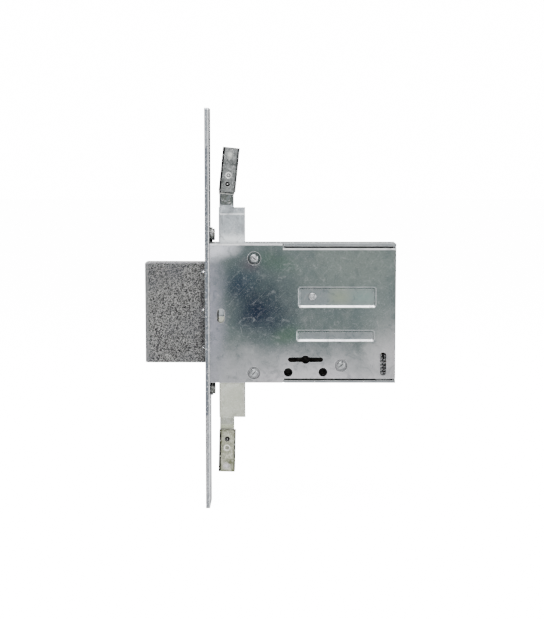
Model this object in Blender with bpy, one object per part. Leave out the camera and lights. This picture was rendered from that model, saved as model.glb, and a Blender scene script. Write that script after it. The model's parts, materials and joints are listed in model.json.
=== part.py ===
"""Mortise deadlock for a double-bitted key, with a block bolt and two vertical rod drives.

The frame: X runs from the faceplate's front face into the case, Z is up with zero on the bolt's
centreline, and Y is the lock's thickness, with the cover on the -Y side. Lengths below are in
millimetres, and MM turns them into metres where a mesh is made. The bolt is thrown.
"""

from math import asin, cos, degrees, pi, radians, sin

import bmesh
import bpy
from mathutils import Vector

MM = 0.001
GAP = 0.3
SMALL_SIDES = 16
SIDES = 24

# Faceplate
FACE_THICK = 2.5
FACE_HALF_WIDTH = 12.0
FACE_TOP = 122.5
FACE_BOTTOM = -119.5
FACE_CORNER_R = 1.5
DOOR_SCREW_INSET = 11.5
DOOR_HOLE_R = 2.6
DOOR_SINK_R = 4.8
NUT_Z = 46.9
SINK_DEPTH = 1.5

# Case
CASE_FRONT = FACE_THICK + GAP
CASE_REAR = 114.5
CASE_HALF_HEIGHT = 42.0
CASE_HALF_THICK = 11.0
SHEET = 1.5
JOG_X = 46.4
JOG_RUN = 1.2
COVER_INSET = 39.3
INNER_Y = CASE_HALF_THICK - SHEET
INNER_Z = CASE_HALF_HEIGHT - SHEET
INNER_REAR = CASE_REAR - SHEET
FRONT_WALL = CASE_FRONT + SHEET
SEAT_Y = INNER_Y - GAP
OVER = 1.0
SNAP = 1e-6

# Cover windows, key side first
KEY_X = 60.4
KEY_Z = -27.9
KEY_HALF_LENGTH = 10.7
KEY_HALF_HEIGHT = 1.5
KEY_EYE_R = 2.6
FIXING_HOLES = ((49.9, -35.6), (70.9, -35.5))
FIXING_HOLE_R = 2.7
FRONT_WINDOW = (9.4, -3.5, 0.7, 2.3)
REAR_WINDOW = (107.05, -35.55, -25.35, 2.05)
RIBS = {"upper": (56.0, 3.9, 102.5, 15.9), "lower": (55.0, -16.6, 101.7, -10.1)}
RIB_DEPTH = 1.0
RIB_DRAFT = 1.1
GUARD_THICK = 1.0

# Bolt and its tail
BOLT_NOSE = -36.5
BOLT_REAR = 11.7
BOLT_HALF_HEIGHT = 30.5
BOLT_HALF_THICK = 6.2
BOLT_CHAMFER = 2.0
BOLT_CHAMFER_RISE = 0.6
BOLT_THROW = 36.0
BOLT_SLOT_FRONT = -5.0
BOLT_SLOT_HALF_HEIGHT = 27.0
TAIL_HALF_THICK = 1.5
TAIL_END = 72.0
TAIL_TOP = 6.0
TAIL_BOTTOM = -18.5
NOTCH_FIRST = 27.0
NOTCH_PITCH = 9.3
NOTCH_COUNT = 4
NOTCH_HALF = 2.6
NOTCH_DEPTH = 4.0
RIVET_X = 0.3
RIVET_ZS = {"upper": 23.0, "middle": 0.0, "lower": -23.0}
RIVET_R = 2.2
RIVET_SINK_R = 3.2
STUMP_X = 66.0
STUMP_Z = -1.0

# Rod slides, driven by one pin in two slanted slots
ROD_TRAVEL = 17.0
DRIVE_X = 15.2
PIN_R = 2.0
SLOT_R = PIN_R + GAP
SLIDE_LEFT = 8.2
SLIDE_RIGHT = 24.1
SLIDE_REACH = 54.6
SLIDE_SHEET = 1.2
SLIDE_Y = {"upper": -7.7, "lower": -9.2}
JOGGLE_START = 59.5
JOGGLE_END = 63.6
JOGGLE = SLIDE_SHEET + GAP
NECK_TOP = {"upper": 71.9, "lower": 71.2}
NECK_X = (8.5, 17.3)
LUG_R = 2.5

# Rod sockets
SOCKET_PIN = {"upper": (13.6, 77.4), "lower": (13.0, 76.9)}
SOCKET_TILT = {"upper": 6.0, "lower": 1.4}
SOCKET_NEAR = {"upper": 4.6, "lower": 4.8}
SOCKET_FAR = {"upper": 21.9, "lower": 20.2}
SOCKET_HALF_WIDTH = 5.0
SOCKET_DEPTH = 8.0
SOCKET_DIMPLES = {"upper": (5.3,), "lower": (5.3, 16.5)}
SOCKET_HOLE_R = 1.6

# Posts, levers and springs
POSTS = {"upper": (29.5, 33.2), "lower": (29.2, -36.1)}
LEVER_POST = (81.8, -31.4)
POST_R = 2.3
SPIGOT_R = 1.5
SCREW_HOLE_R = 1.7
STOP = (64.4, 10.2)
STOP_R = 2.2
LEVER_THICK = 1.6
LEVER_YS = (-7.9, -5.9, -3.9, 2.3, 4.3, 6.3)
LEVER_LEFT = 56.3
LEVER_RIGHT = 108.6
LEVER_TOP = 5.5
LEVER_TIP = 110.6
LEVER_TIP_BOTTOM = -22.7
LEVER_WINDOW = (60.5, -5.2, 104.5, 3.2)
BELLY_R = 9.3
EYE_R = 5.5
SPRING_XS = (105.8, 108.8)
SPRING_TOP = -23.0
SPRING_BOTTOM = -37.0
SPRING_R = 1.15
SPRING_WIRE_R = 0.3
SPRING_TURNS = 6


def clear_scene():
    for obj in list(bpy.data.objects):
        bpy.data.objects.remove(obj, do_unlink=True)


# Outlines: lists of points across the direction that a shape is extruded in


def arc(cx, cz, radius, start, end, steps):
    angles = [radians(start + (end - start) * i / steps) for i in range(steps + 1)]
    return [(cx + radius * cos(a), cz + radius * sin(a)) for a in angles]


def circle(cx, cz, radius, steps=SIDES):
    return arc(cx, cz, radius, 0.0, 360.0 - 360.0 / steps, steps - 1)


def rectangle(x0, z0, x1, z1):
    return [(x0, z0), (x1, z0), (x1, z1), (x0, z1)]


def soft_rectangle(x0, z0, x1, z1, radius, steps=4):
    return (
        arc(x1 - radius, z0 + radius, radius, -90, 0, steps)
        + arc(x1 - radius, z1 - radius, radius, 0, 90, steps)
        + arc(x0 + radius, z1 - radius, radius, 90, 180, steps)
        + arc(x0 + radius, z0 + radius, radius, 180, 270, steps)
    )


def upright_slot(cx, low, high, radius, steps=10):
    return arc(cx, high, radius, 0, 180, steps) + arc(cx, low, radius, 180, 360, steps)


def slanted_slot(start, end, radius, steps=8):
    """A slot with round ends between two centres."""
    heading = degrees(Vector((1, 0)).angle_signed(Vector(end) - Vector(start)))
    turn = -heading
    far = arc(end[0], end[1], radius, turn - 90, turn + 90, steps)
    near = arc(start[0], start[1], radius, turn + 90, turn + 270, steps)
    return far + near


def keyhole(steps=6):
    """A lying slot for the two bits, with a round eye for the shank."""
    meet = degrees(asin(KEY_HALF_HEIGHT / KEY_EYE_R))
    end = KEY_HALF_LENGTH - KEY_HALF_HEIGHT
    return (
        arc(KEY_X + end, KEY_Z, KEY_HALF_HEIGHT, -90, 90, steps)
        + arc(KEY_X, KEY_Z, KEY_EYE_R, meet, 180 - meet, steps)
        + arc(KEY_X - end, KEY_Z, KEY_HALF_HEIGHT, 90, 270, steps)
        + arc(KEY_X, KEY_Z, KEY_EYE_R, 180 + meet, 360 - meet, steps)
    )


def mirrored(outline):
    return [(x, -z) for x, z in reversed(outline)]


# Shapes: rings of points to skin over, with a flag for rings that close into a tube


def on_axis(axis, along, a, b):
    """The point at a distance along an axis, with a and b in the order X, Y, Z of the other two."""
    return {"x": (along, a, b), "y": (a, along, b), "z": (a, b, along)}[axis]


def loft(sections, axis="y"):
    return [[on_axis(axis, at, a, b) for a, b in outline] for at, outline in sections], False


def prism(outline, start, end, axis="y"):
    return loft([(start, outline), (end, outline)], axis)


def box(low, high):
    return prism(rectangle(low[0], low[2], high[0], high[2]), low[1], high[1])


def turned(profile, centre, axis="y", steps=SMALL_SIDES, tube=False):
    """A turned solid: the profile is a list of (distance along the axis, radius)."""
    sections = [(at, circle(centre[0], centre[1], radius, steps)) for at, radius in profile]
    return loft(sections, axis)[0], tube


def coil(cx, cy, low, high, turns_steps=8, wire_sides=4):
    """A round wire wound about an upright axis."""
    count = SPRING_TURNS * turns_steps
    rise = (high - low - 2 * SPRING_WIRE_R) / count
    rings = []
    for i in range(count + 1):
        turn = 2 * pi * i / turns_steps
        outward = Vector((cos(turn), sin(turn), 0.0))
        centre = Vector((cx, cy, low + SPRING_WIRE_R + rise * i)) + SPRING_R * outward
        sides = [2 * pi * j / wire_sides for j in range(wire_sides)]
        up = Vector((0.0, 0.0, SPRING_WIRE_R))
        rings.append([centre + SPRING_WIRE_R * cos(s) * outward + sin(s) * up for s in sides])
    return rings, False


def skin(bm, shape, origin):
    """Adds one closed shape to a bmesh, as points relative to the origin."""
    rings, tube = shape
    verts = [[bm.verts.new((Vector(p) - origin) * MM) for p in ring] for ring in rings]
    sides = len(rings[0])
    pairs = list(zip(verts, verts[1:]))
    if tube:
        pairs.append((verts[-1], verts[0]))
    else:
        bm.faces.new(verts[0])
        bm.faces.new(verts[-1])
    for one, two in pairs:
        for i in range(sides):
            j = (i + 1) % sides
            bm.faces.new((one[i], one[j], two[j], two[i]))


def mesh_of(name, shapes, origin, bands=()):
    bm = bmesh.new()
    for shape in shapes:
        skin(bm, shape, origin)
    for height in bands:
        geometry = bm.verts[:] + bm.edges[:] + bm.faces[:]
        cut_at = (0.0, 0.0, (height - origin.z) * MM)
        up = (0.0, 0.0, 1.0)
        bmesh.ops.bisect_plane(bm, geom=geometry, dist=SNAP, plane_co=cut_at, plane_no=up)
    bmesh.ops.recalc_face_normals(bm, faces=bm.faces[:])
    mesh = bpy.data.meshes.new(name)
    bm.to_mesh(mesh)
    bm.free()
    return mesh


# Finishes


def principled(name, colour, roughness, metallic):
    material = bpy.data.materials.new(name)
    material.use_nodes = True
    shader = material.node_tree.nodes["Principled BSDF"]
    shader.inputs["Base Color"].default_value = (*colour, 1.0)
    shader.inputs["Roughness"].default_value = roughness
    shader.inputs["Metallic"].default_value = metallic
    material.diffuse_color = (*colour, 1.0)
    return material


def zinc(name):
    return principled(name, (0.62, 0.65, 0.67), 0.32, 1.0)


def pale_zinc(name):
    return principled(name, (0.70, 0.72, 0.68), 0.38, 1.0)


def yellow_zinc(name):
    return principled(name, (0.58, 0.57, 0.45), 0.42, 1.0)


def blasted_steel(name):
    return principled(name, (0.38, 0.37, 0.37), 0.55, 1.0)


def brass(name):
    return principled(name, (0.72, 0.58, 0.30), 0.35, 1.0)


def spring_steel(name):
    return principled(name, (0.75, 0.76, 0.78), 0.25, 1.0)


def dark_steel(name):
    return principled(name, (0.22, 0.22, 0.23), 0.45, 1.0)


# Pieces


def piece(name, shape, finish, parent, at=(0.0, 0.0, 0.0), tilt=0.0, bands=()):
    """One named solid, with its origin at a point and turned about Y by its tilt in degrees."""
    origin = Vector(at)
    mesh = mesh_of(name, [shape], origin, bands)
    obj = bpy.data.objects.new(name, mesh)
    bpy.context.scene.collection.objects.link(obj)
    mesh.materials.append(finish(name))
    obj.parent = parent
    obj.location = (origin - Vector(parent.get("at", (0.0, 0.0, 0.0)))) * MM
    obj.rotation_euler = (0.0, radians(tilt), 0.0)
    obj["at"] = at
    mesh.shade_smooth()
    mesh.set_sharp_from_angle(angle=radians(35))
    return obj


def boolean(obj, shapes, operation):
    """Cuts or joins hidden shapes, which sit in the piece's own frame."""
    count = len(obj.modifiers) + 1
    name = f"{obj.name}.tool_{count}"
    tool = bpy.data.objects.new(name, mesh_of(name, shapes, Vector(obj["at"])))
    bpy.context.scene.collection.objects.link(tool)
    tool.parent = obj
    tool.hide_render = True
    tool.display_type = "WIRE"
    modifier = obj.modifiers.new(f"{operation.lower()}_{count}", "BOOLEAN")
    modifier.operation = operation
    modifier.solver = "EXACT"
    modifier.object = tool


def cut(obj, *shapes):
    boolean(obj, shapes, "DIFFERENCE")


def join(obj, *shapes):
    boolean(obj, shapes, "UNION")


def carrier(name, parent=None, at=(0.0, 0.0, 0.0)):
    """An empty that holds the pieces of one moving body, on its joint's axis."""
    empty = bpy.data.objects.new(name, None)
    bpy.context.scene.collection.objects.link(empty)
    empty.parent = parent
    empty.location = Vector(at) * MM
    empty.empty_display_size = 5 * MM
    empty["at"] = at
    return empty


def countersink(centre, hole_r, sink_r, depth):
    """A hole along X through the faceplate, with a cone at its front."""
    profile = [(-OVER, sink_r), (0.0, sink_r), (depth, hole_r), (FACE_THICK + OVER, hole_r)]
    return turned(profile, centre, "x", SIDES)


def countersunk_pin(name, centre, end, shank_r, head_r, finish, parent):
    """A rivet or screw along X, its head just below the faceplate's front."""
    profile = [(0.2, head_r), (SINK_DEPTH, shank_r), (end, shank_r)]
    return piece(name, turned(profile, centre, "x"), finish, parent)


def rivet_places():
    """The four rivets that hold the faceplate: (name, y, z)."""
    levels = (("upper", 35.5), ("lower", -35.5))
    sides = (("front", -3.2), ("back", 3.2))
    return [(f"{level}_{side}", y, z) for level, z in levels for side, y in sides]


def make_faceplate(lock):
    half = FACE_HALF_WIDTH
    outline = soft_rectangle(-half, FACE_BOTTOM, half, FACE_TOP, FACE_CORNER_R)
    plate = piece("faceplate", prism(outline, 0.0, FACE_THICK, "x"), zinc, lock)
    way_y = BOLT_HALF_THICK + GAP
    way_z = BOLT_HALF_HEIGHT + GAP
    holes = [box((-OVER, -way_y, -way_z), (FACE_THICK + OVER, way_y, way_z))]
    for z in (FACE_TOP - DOOR_SCREW_INSET, FACE_BOTTOM + DOOR_SCREW_INSET):
        holes.append(countersink((0.0, z), DOOR_HOLE_R, DOOR_SINK_R, 2.0))
    for z in (NUT_Z, -NUT_Z):
        holes.append(countersink((0.0, z), 2.2, 3.9, SINK_DEPTH))
    for _, y, z in rivet_places():
        holes.append(countersink((y, z), 1.9, 3.1, SINK_DEPTH))
    cut(plate, *holes)


def make_face_fasteners(lock):
    for level, z in (("upper", NUT_Z), ("lower", -NUT_Z)):
        collar = CASE_FRONT + 1.4
        end = CASE_FRONT + 2.8
        profile = [(CASE_FRONT, 2.3), (CASE_FRONT, 4.5), (collar, 4.5)]
        profile += [(collar, 3.6), (end, 3.6), (end, 2.3)]
        nut = turned(profile, (0.0, z), "x", tube=True)
        piece(f"clinch_nut_{level}", nut, yellow_zinc, lock)
        name = f"faceplate_screw_{level}"
        countersunk_pin(name, (0.0, z), end - 0.2, 1.9, 3.3, yellow_zinc, lock)
    for name, y, z in rivet_places():
        countersunk_pin(f"faceplate_rivet_{name}", (y, z), 12.0, 1.6, 2.5, zinc, lock)


def make_bolt_guides(lock):
    for level, side in (("upper", 1), ("lower", -1)):
        heights = sorted((side * (BOLT_HALF_HEIGHT + GAP), side * (INNER_Z - GAP)))
        low = (FRONT_WALL + GAP, -BOLT_HALF_THICK, heights[0])
        high = (20.0, SEAT_Y, heights[1])
        guide = piece(f"bolt_guide_{level}", box(low, high), brass, lock)
        places = [(y, z) for name, y, z in rivet_places() if name.startswith(level)]
        cut(guide, *[turned([(0.0, 1.9), (12.4, 1.9)], place, "x") for place in places])


def make_case_body(lock):
    outside = [
        (CASE_FRONT, -SEAT_Y),
        (JOG_X + JOG_RUN, -SEAT_Y),
        (JOG_X + JOG_RUN, -CASE_HALF_THICK),
        (CASE_REAR, -CASE_HALF_THICK),
        (CASE_REAR, CASE_HALF_THICK),
        (CASE_FRONT, CASE_HALF_THICK),
    ]
    inside = [
        (FRONT_WALL, -CASE_HALF_THICK - OVER),
        (CASE_REAR + OVER, -CASE_HALF_THICK - OVER),
        (CASE_REAR + OVER, -SEAT_Y),
        (INNER_REAR, -SEAT_Y),
        (INNER_REAR, INNER_Y),
        (FRONT_WALL, INNER_Y),
    ]
    tray = prism(outside, -CASE_HALF_HEIGHT, CASE_HALF_HEIGHT, "z")
    case = piece("case_body", tray, zinc, lock)
    cut(case, prism(inside, -INNER_Z, INNER_Z, "z"))
    way_y = BOLT_HALF_THICK + GAP
    way_z = BOLT_HALF_HEIGHT + GAP
    holes = [box((0.0, -way_y, -way_z), (FRONT_WALL + OVER, way_y, way_z))]
    for level, side in (("upper", 1), ("lower", -1)):
        back = SLIDE_Y[level] + SLIDE_SHEET + GAP
        heights = sorted((side * (INNER_Z - OVER), side * (CASE_HALF_HEIGHT + OVER)))
        low = (SLIDE_LEFT - GAP, -INNER_Y - OVER, heights[0])
        holes.append(box(low, (SLIDE_RIGHT + GAP, back, heights[1])))
    for _, y, z in rivet_places():
        holes.append(turned([(0.0, 1.9), (FRONT_WALL + OVER, 1.9)], (y, z), "x"))
    back = (INNER_Y - OVER, CASE_HALF_THICK + OVER)
    for x, z in (*POSTS.values(), LEVER_POST):
        holes.append(prism(circle(x, z, SPIGOT_R + GAP, SMALL_SIDES), *back))
    cut(case, *holes)


def rib(low_x, low_z, high_x, high_z, mouth, floor):
    """A pressed rib: its outline at the mouth, drawn in to the floor."""
    wide = soft_rectangle(low_x, low_z, high_x, high_z, 1.6)
    d = RIB_DRAFT
    narrow = soft_rectangle(low_x + d, low_z + d, high_x - d, high_z - d, 0.8)
    return loft([(mouth, wide), (floor, narrow)])


def make_case_cover(lock):
    front = -CASE_HALF_THICK
    jog = JOG_X + JOG_RUN
    upper = [(CASE_REAR, COVER_INSET), (jog, COVER_INSET)]
    upper += [(JOG_X, CASE_HALF_HEIGHT), (CASE_FRONT, CASE_HALF_HEIGHT)]
    outline = mirrored(upper) + upper
    cover = piece("case_cover", prism(outline, front, -INNER_Y), zinc, lock)
    bosses = [rib(*place, -INNER_Y - 0.2, -INNER_Y + RIB_DEPTH) for place in RIBS.values()]
    join(cover, *bosses)
    cut(cover, *[rib(*place, front, front + RIB_DEPTH) for place in RIBS.values()])
    through = (front - OVER, -INNER_Y + OVER + RIB_DEPTH)
    holes = [prism(keyhole(), *through)]
    for x, z in FIXING_HOLES:
        holes.append(prism(circle(x, z, FIXING_HOLE_R), *through))
    for window in (FRONT_WINDOW, REAR_WINDOW):
        holes.append(prism(upright_slot(*window), *through))
    for x, z in (*POSTS.values(), LEVER_POST):
        steps = [(through[0], 4.0), (front + 0.5, 4.0), (front + 0.9, 3.2)]
        steps += [(front + 0.9, SCREW_HOLE_R), (through[1], SCREW_HOLE_R)]
        holes.append(turned(steps, (x, z), "y", SIDES))
    holes.append(turned([(through[0], 1.4), (through[1], 1.4)], STOP))
    cut(cover, *holes)


def make_posts_and_screws(lock):
    places = {f"cover_post_{level}": place for level, place in POSTS.items()}
    places["lever_post"] = LEVER_POST
    screws = ("cover_screw_upper_front", "cover_screw_lower_front", "cover_screw_rear")
    turns = (-45.0, 50.0, 35.0)
    top = -CASE_HALF_THICK - GAP
    for (name, place), screw, turn in zip(places.items(), screws, turns):
        spigot = CASE_HALF_THICK - 0.2
        profile = [(-SEAT_Y, POST_R), (SEAT_Y, POST_R), (SEAT_Y, SPIGOT_R), (spigot, SPIGOT_R)]
        post = piece(name, turned(profile, place), zinc, lock)
        cut(post, turned([(-INNER_Y - OVER, 1.55), (-2.5, 1.55)], place))
        head = [(top, 1.9), (top + 0.3, 2.4), (top + 0.9, 2.4), (top + 0.9, 1.25), (-3.0, 1.25)]
        screw = piece(screw, turned(head, place, "y"), pale_zinc, lock)
        ends = [Vector(place) + Vector((cos(radians(turn)), sin(radians(turn)))) * s for s in (-4, 4)]
        cut(screw, prism(slanted_slot(*ends, 0.35, 2), top - OVER, top + 0.5))


def make_lever_stop(lock):
    head = -CASE_HALF_THICK + RIB_DEPTH - GAP
    shoulder = -INNER_Y + RIB_DEPTH + GAP
    profile = [(head - 0.7, 1.7), (head - 0.4, 2.4), (head, 2.4), (head, 1.1)]
    profile += [(shoulder, 1.1), (shoulder, STOP_R), (-shoulder, STOP_R)]
    piece("lever_stop_rivet", turned(profile, STOP, "y"), pale_zinc, lock)


def make_keyhole_guards(lock):
    """Hardened plates in front of the key's bits, with holes, and behind them, without."""
    outline = rectangle(44.0, GAP - INNER_Z, 77.0, -24.6)
    back = prism(outline, SEAT_Y - GUARD_THICK, SEAT_Y)
    piece("keyhole_guard_back", back, dark_steel, lock)
    front = prism(outline, -SEAT_Y, GUARD_THICK - SEAT_Y)
    guard = piece("keyhole_guard_front", front, dark_steel, lock)
    through = (-SEAT_Y - OVER, GUARD_THICK - SEAT_Y + OVER)
    holes = [prism(keyhole(), *through)]
    for x, z in FIXING_HOLES:
        holes.append(prism(circle(x, z, FIXING_HOLE_R, SMALL_SIDES), *through))
    cut(guard, *holes)


def make_bolt(bolt):
    half = BOLT_HALF_THICK
    shoulder = BOLT_NOSE + BOLT_CHAMFER
    plan = [
        (BOLT_NOSE, BOLT_CHAMFER_RISE - half),
        (shoulder, -half),
        (BOLT_REAR, -half),
        (BOLT_REAR, half),
        (shoulder, half),
        (BOLT_NOSE, half - BOLT_CHAMFER_RISE),
    ]
    inner = BOLT_HALF_HEIGHT - 0.6
    rim = [(max(x, BOLT_NOSE + 0.6), y * (half - 0.6) / half) for x, y in plan]
    sections = [(-BOLT_HALF_HEIGHT, rim), (-inner, plan), (inner, plan), (BOLT_HALF_HEIGHT, rim)]
    head = piece("bolt_head", loft(sections, "z"), blasted_steel, bolt)
    slot = TAIL_HALF_THICK + GAP
    low = (BOLT_SLOT_FRONT, -slot, -BOLT_SLOT_HALF_HEIGHT)
    cut(head, box(low, (BOLT_REAR + OVER, slot, BOLT_SLOT_HALF_HEIGHT)))
    for z in RIVET_ZS.values():
        profile = [(-half - OVER, RIVET_SINK_R), (-half + 0.6, RIVET_SINK_R)]
        profile += [(-half + 0.6, RIVET_R + GAP), (half - 0.6, RIVET_R + GAP)]
        profile += [(half - 0.6, RIVET_SINK_R), (half + OVER, RIVET_SINK_R)]
        cut(head, turned(profile, (RIVET_X, z), "y"))


def tail_outline():
    """The tail plate: a tall front for the rivets, and key notches along its lower edge."""
    tall = BOLT_SLOT_HALF_HEIGHT - GAP
    front = BOLT_SLOT_FRONT + GAP
    lower = [(front, -tall), (13.0, -tall), (17.0, TAIL_BOTTOM)]
    for i in range(NOTCH_COUNT):
        x = NOTCH_FIRST + NOTCH_PITCH * i
        roof = TAIL_BOTTOM + NOTCH_DEPTH
        lower += [(x - NOTCH_HALF, TAIL_BOTTOM), (x - 1.6, roof)]
        lower += [(x + 1.6, roof), (x + NOTCH_HALF, TAIL_BOTTOM)]
    rear = [(TAIL_END - 2.0, TAIL_BOTTOM), (TAIL_END, TAIL_BOTTOM + 2.0)]
    rear += [(TAIL_END, TAIL_TOP - 2.0), (TAIL_END - 2.0, TAIL_TOP)]
    return lower + rear + [(17.0, TAIL_TOP), (13.0, tall), (front, tall)]


def make_bolt_tail(bolt):
    half = TAIL_HALF_THICK
    tail = piece("bolt_tail", prism(tail_outline(), -half, half), zinc, bolt)
    places = [(DRIVE_X, 0.0), (STUMP_X, STUMP_Z)] + [(RIVET_X, z) for z in RIVET_ZS.values()]
    through = [(-half - OVER, RIVET_R + GAP), (half + OVER, RIVET_R + GAP)]
    cut(tail, *[turned(through, place) for place in places])
    end = BOLT_HALF_THICK - 0.2
    for level, z in RIVET_ZS.items():
        rivet = turned([(-end, RIVET_R), (end, RIVET_R)], (RIVET_X, z), "y")
        piece(f"bolt_rivet_{level}", rivet, pale_zinc, bolt)
    drive = turned([(-SEAT_Y + GAP, PIN_R), (half, PIN_R)], (DRIVE_X, 0.0))
    piece("drive_pin", drive, spring_steel, bolt)
    stump = turned([(-8.0, PIN_R), (8.0, PIN_R)], (STUMP_X, STUMP_Z))
    piece("bolt_stump", stump, spring_steel, bolt)


def slide_outline(level):
    """The upper slide in outline: web, riser, neck and the lug in its socket."""
    pin_x, pin_z = SOCKET_PIN[level]
    rise = SLIDE_REACH - SLIDE_LEFT
    neck_top = NECK_TOP[level]
    foot = -5.5
    web_top = ROD_TRAVEL + 4.0
    right = foot + ROD_TRAVEL + 0.7
    corner = (SLIDE_LEFT, foot)
    if level == "lower":
        foot_cut = 1.9
        corner = (DRIVE_X - SLOT_R - 1.4, foot)
        extra = [(SLIDE_LEFT, foot_cut), (corner[0], foot_cut)]
    else:
        extra = []
    outline = extra + [corner, (SLIDE_LEFT + 9.0, foot), (SLIDE_LEFT + rise, right)]
    outline += [(SLIDE_REACH, web_top), (SLIDE_RIGHT, web_top), (SLIDE_RIGHT, JOGGLE_END)]
    outline += [(NECK_X[1], JOGGLE_END), (NECK_X[1], neck_top), (pin_x + LUG_R, neck_top)]
    outline += arc(pin_x, pin_z, LUG_R, 0, 180, 10)
    outline += [(pin_x - LUG_R, neck_top), (NECK_X[0], neck_top), (NECK_X[0], JOGGLE_END)]
    return outline + [(SLIDE_LEFT, JOGGLE_END)]


def bend_joggle(obj, side):
    """Sets the neck back by a joggle, between the two bend lines."""
    for vert in obj.data.vertices:
        height = side * vert.co.z / MM
        share = (height - JOGGLE_START) / (JOGGLE_END - JOGGLE_START)
        vert.co.y += JOGGLE * MM * min(max(share, 0.0), 1.0)


def make_rod_slide(level, carriage):
    side = 1 if level == "upper" else -1
    start = SLIDE_Y[level]
    outline = slide_outline(level)
    slot = slanted_slot((DRIVE_X, 0.0), (DRIVE_X + BOLT_THROW, ROD_TRAVEL), SLOT_R)
    pin_x, pin_z = SOCKET_PIN[level]
    if side < 0:
        outline = mirrored(outline)
        slot = mirrored(slot)
    sheet = prism(outline, start, start + SLIDE_SHEET)
    bands = [side * JOGGLE_START, side * JOGGLE_END]
    slide = piece(f"rod_slide_{level}", sheet, pale_zinc, carriage, bands=bands)
    bend_joggle(slide, side)
    hole = [(start - OVER, 1.4), (start + 4.0, 1.4)]
    cut(slide, prism(slot, start - OVER, start + SLIDE_SHEET + OVER), turned(hole, (pin_x, side * pin_z)))
    web = start + GAP / 2
    lug_back = start + JOGGLE + SLIDE_SHEET + GAP
    profile = [(web, 1.1), (lug_back, 1.1), (lug_back, 2.2), (lug_back + 0.7, 2.2)]
    pin = turned(profile, (pin_x, side * pin_z))
    piece(f"socket_pin_{level}", pin, spring_steel, carriage, at=(pin_x, 0.0, side * pin_z))


def make_rod_socket(level, carriage):
    """A folded channel on its pin: its web faces the cover side and its back is open."""
    side = 1 if level == "upper" else -1
    pin_x, pin_z = SOCKET_PIN[level]
    front = SLIDE_Y[level]
    back = front + SOCKET_DEPTH
    half = SOCKET_HALF_WIDTH
    inner = half - SLIDE_SHEET
    web = front + SLIDE_SHEET
    plan = [(pin_x - half, front), (pin_x + half, front), (pin_x + half, back), (pin_x + inner, back)]
    plan += [(pin_x + inner, web), (pin_x - inner, web), (pin_x - inner, back), (pin_x - half, back)]
    ends = sorted((side * (pin_z - SOCKET_NEAR[level]), side * (pin_z + SOCKET_FAR[level])))
    channel = prism(plan, *ends, "z")
    at = (pin_x, 0.0, side * pin_z)
    name = f"rod_socket_{level}"
    finish = pale_zinc if side > 0 else yellow_zinc
    socket = piece(name, channel, finish, carriage, at, SOCKET_TILT[level])
    tools = [turned([(front - OVER, SOCKET_HOLE_R), (web + OVER, SOCKET_HOLE_R)], (pin_x, at[2]))]
    for height in SOCKET_DIMPLES[level]:
        centre = (pin_x, at[2] + side * height)
        tools.append(turned([(front - OVER, 1.9), (front + 0.3, 1.9), (front + 0.6, 1.2)], centre))
    cut(socket, *tools)


def lever_outline():
    """A lever in outline: belly over the key, eye on its post, and a tip on its spring."""
    eye_x, eye_z = LEVER_POST
    outline = arc(KEY_X, KEY_Z, BELLY_R, 114, 35, 8)
    outline += [(73.0, -25.0)] + arc(eye_x, eye_z, EYE_R, 180, 360, 12)
    outline += [(90.0, -25.5), (103.2, LEVER_TIP_BOTTOM), (LEVER_TIP, LEVER_TIP_BOTTOM)]
    outline += [(LEVER_TIP, -17.0), (LEVER_RIGHT, -15.0), (LEVER_RIGHT, LEVER_TOP)]
    return outline + [(LEVER_LEFT, LEVER_TOP)]


def make_levers(lock):
    """Six levers, three on each side of the tail, each with its own gate notches."""
    eye_x, eye_z = LEVER_POST
    for i, start in enumerate(LEVER_YS):
        end = start + LEVER_THICK
        sheet = prism(lever_outline(), start, end)
        lever = piece(f"lever_{i + 1}", sheet, brass, lock, at=(eye_x, 0.0, eye_z))
        through = (start - OVER, end + OVER)
        window = soft_rectangle(*LEVER_WINDOW, 0.8, 2)
        eye = circle(eye_x, eye_z, POST_R + GAP, SMALL_SIDES)
        cut(lever, prism(window, *through), prism(eye, *through))
        notch = 70.0 + 4.5 * i
        low = (notch, through[0], LEVER_WINDOW[1] - 1.2)
        cut(lever, box(low, (notch + 1.6, through[1], LEVER_WINDOW[1] + 1.2)))


def make_springs(lock):
    low = (SPRING_XS[0] - 2.8, -8.5, GAP - INNER_Z)
    high = (SPRING_XS[1] + 3.0, 8.5, SPRING_BOTTOM - GAP)
    piece("spring_seat", box(low, high), zinc, lock)
    for i, start in enumerate(LEVER_YS):
        x = SPRING_XS[i % 2]
        wire = coil(x, start + LEVER_THICK / 2, SPRING_BOTTOM, SPRING_TOP)
        piece(f"lever_spring_{i + 1}", wire, spring_steel, lock)


def main():
    clear_scene()
    lock = carrier("lock")
    make_faceplate(lock)
    make_face_fasteners(lock)
    make_bolt_guides(lock)
    make_case_body(lock)
    make_case_cover(lock)
    make_posts_and_screws(lock)
    make_lever_stop(lock)
    make_keyhole_guards(lock)
    bolt = carrier("bolt", lock)
    make_bolt(bolt)
    make_bolt_tail(bolt)
    for level in ("upper", "lower"):
        carriage = carrier(f"rod_{level}", lock)
        make_rod_slide(level, carriage)
        make_rod_socket(level, carriage)
    make_levers(lock)
    make_springs(lock)


main()
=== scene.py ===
"""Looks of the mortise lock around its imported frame: finer pieces, finishes, light and camera.

The frame is the CAD's: X from the faceplate's front into the case, Z up, the cover on the -Y side.
Lengths of pieces and patches are in millimetres, and MM turns them into metres where a mesh is made.
Places of lights and the camera are in metres.
"""

import json
from math import cos, pi, radians, sin

import bmesh
import bpy
from mathutils import Matrix, Vector


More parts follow.
